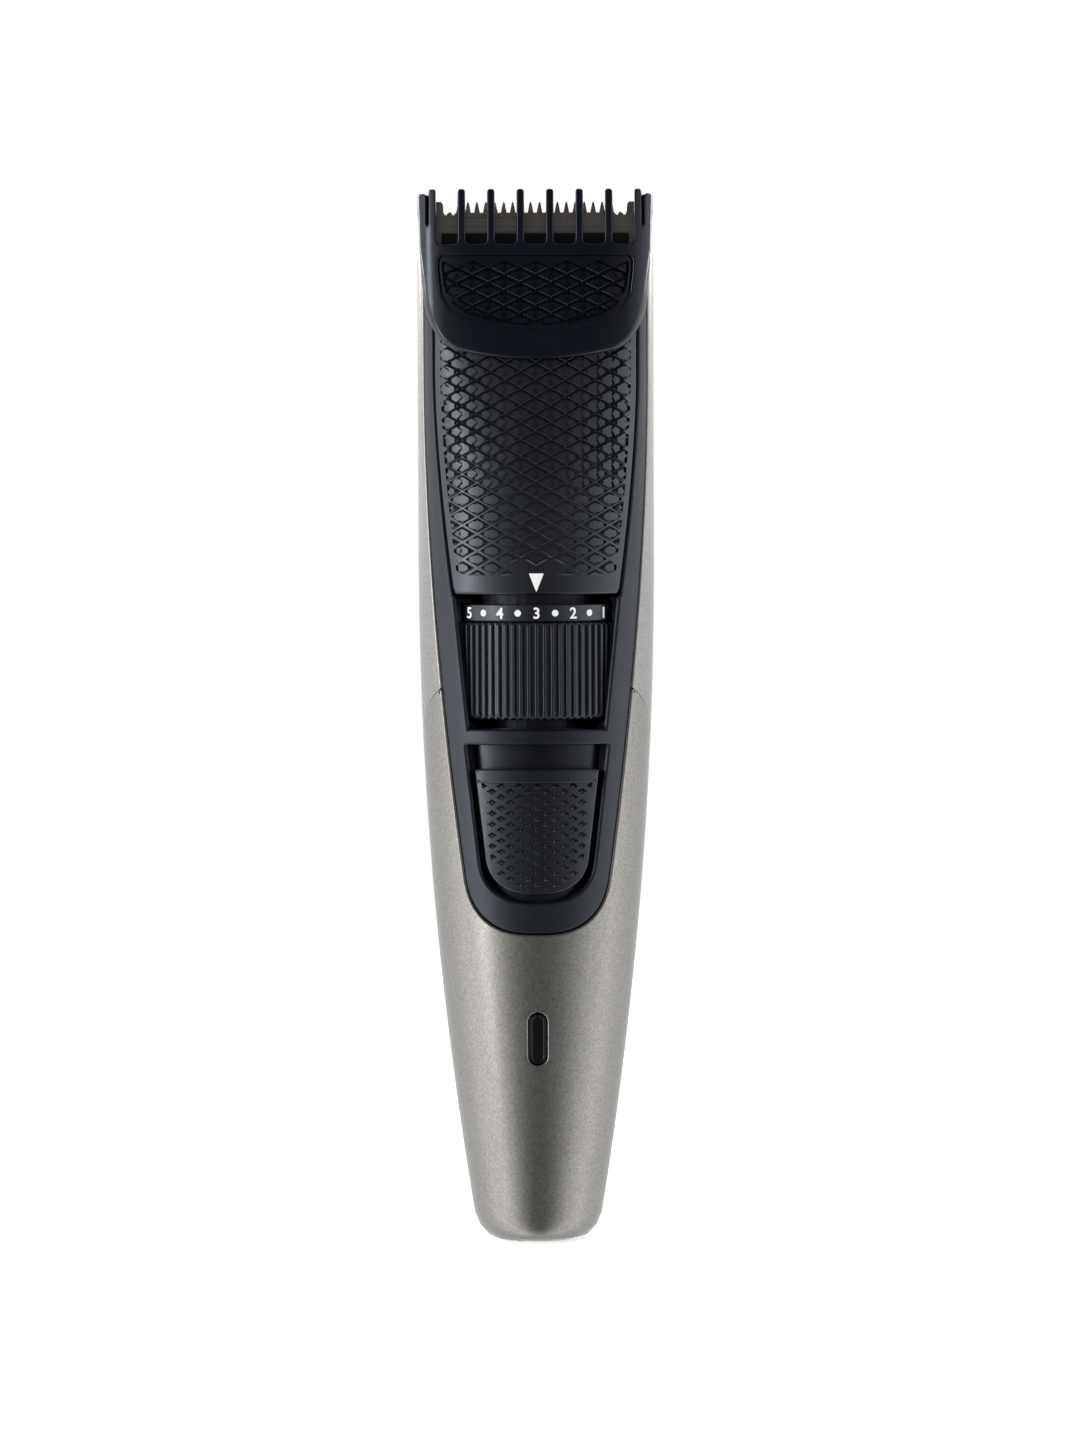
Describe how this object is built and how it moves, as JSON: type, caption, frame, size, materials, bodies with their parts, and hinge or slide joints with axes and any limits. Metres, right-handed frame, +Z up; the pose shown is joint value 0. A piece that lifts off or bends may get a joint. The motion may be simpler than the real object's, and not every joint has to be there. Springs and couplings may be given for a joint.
{
  "type": "beard trimmer",
  "caption": "Cordless beard trimmer: tapered silver handle, dark front frame, ribbed length wheel, sliding power switch, steel blades and a sliding guide comb.",
  "frame": {"origin": "on the flat base, at the centre of the bounding box seen from above", "axes": "+Z up the handle to the blades, -Y out of the face with the wheel and the switch, +X to the right when facing the controls"},
  "size_m": [0.0372, 0.0318, 0.1652],
  "materials": {
    "shell_pewter": "satin",
    "shell_silver": "satin",
    "frame_satin": "satin",
    "panel_satin": "satin",
    "comb_gloss": "gloss",
    "tray_gloss": "gloss",
    "slider_satin": "satin",
    "wheel_black": "satin",
    "mark_white": "matte",
    "lens_black": "gloss",
    "inner_black": "matte",
    "nylon_white": "matte",
    "blade_steel": "satin",
    "plain_steel": "satin",
    "spring_steel": "polished",
    "brass": "satin",
    "board_green": "satin",
    "cell_wrap": "satin",
    "led_clear": "gloss",
    "seal_rubber": "matte"
  },
  "bodies": {
    "housing": {"front_shell": "shell_pewter", "rear_shell": "shell_silver", "front_frame": "frame_satin", "grip_panel": "panel_satin", "switch_tray": "tray_gloss", "pointer_mark": "mark_white", "indicator_lens": "lens_black", "base_cap": "inner_black", "switch_block": "inner_black", "charge_socket": "inner_black", "motor_end_bell": "inner_black", "motor_bulkhead": "inner_black", "blade_carrier": "inner_black", "head_cover": "inner_black", "wheel_bush": "inner_black", "bush_plate": "inner_black", "cell_cradle": "nylon_white", "motor_mount": "nylon_white", "fixed_blade": "blade_steel", "cell_tab_top": "plain_steel", "cell_tab_bottom": "plain_steel", "board_screw_left": "plain_steel", "board_screw_right": "plain_steel", "motor_can": "plain_steel", "motor_screw_left": "plain_steel", "motor_screw_right": "plain_steel", "blade_screw_left": "plain_steel", "blade_screw_right": "plain_steel", "detent_spring": "spring_steel", "blade_spring": "spring_steel", "motor_bearing": "brass", "circuit_board": "board_green", "battery_cell": "cell_wrap", "status_led": "led_clear", "shaft_seal": "seal_rubber"},
    "wheel": {"length_wheel": "wheel_black", "scale_ring": "wheel_black", "cam_drum": "inner_black"},
    "carriage": {"comb_carriage": "nylon_white", "follower_pin": "plain_steel"},
    "comb": {"guide_comb": "comb_gloss"},
    "slider": {"power_slider": "slider_satin", "slider_clip": "inner_black"},
    "cutter": {"moving_blade": "blade_steel", "drive_yoke": "nylon_white"},
    "rotor": {"motor_shaft": "plain_steel", "eccentric_cam": "brass"}
  },
  "joints": [
    {"name": "wheel_turn", "type": "hinge", "parent": "housing", "child": "wheel", "pos_m": [0, -0.0014, 0.09], "axis": [0, 0, 1], "range_deg": [-60, 168]},
    {"name": "comb_lift", "type": "slide", "parent": "housing", "child": "carriage", "axis": [0, 0, 1], "range_m": [-0.0025, 0.007]},
    {"name": "comb_pull_off", "type": "slide", "parent": "carriage", "child": "comb", "axis": [0, 0, 1], "range_m": [0, 0.012]},
    {"name": "power_slide", "type": "slide", "parent": "housing", "child": "slider", "axis": [0, 0, 1], "range_m": [0, 0.0032]},
    {"name": "blade_stroke", "type": "slide", "parent": "housing", "child": "cutter", "axis": [1, 0, 0], "range_m": [-0.0009, 0.0009]},
    {"name": "motor_spin", "type": "hinge", "parent": "housing", "child": "rotor", "pos_m": [0, -0.0014, 0.135], "axis": [0, 0, 1], "continuous": true}
  ],
  "couplings": [
    {"joint": "comb_lift", "follows": "wheel_turn", "m_per_rad": 0.0023873}
  ]
}
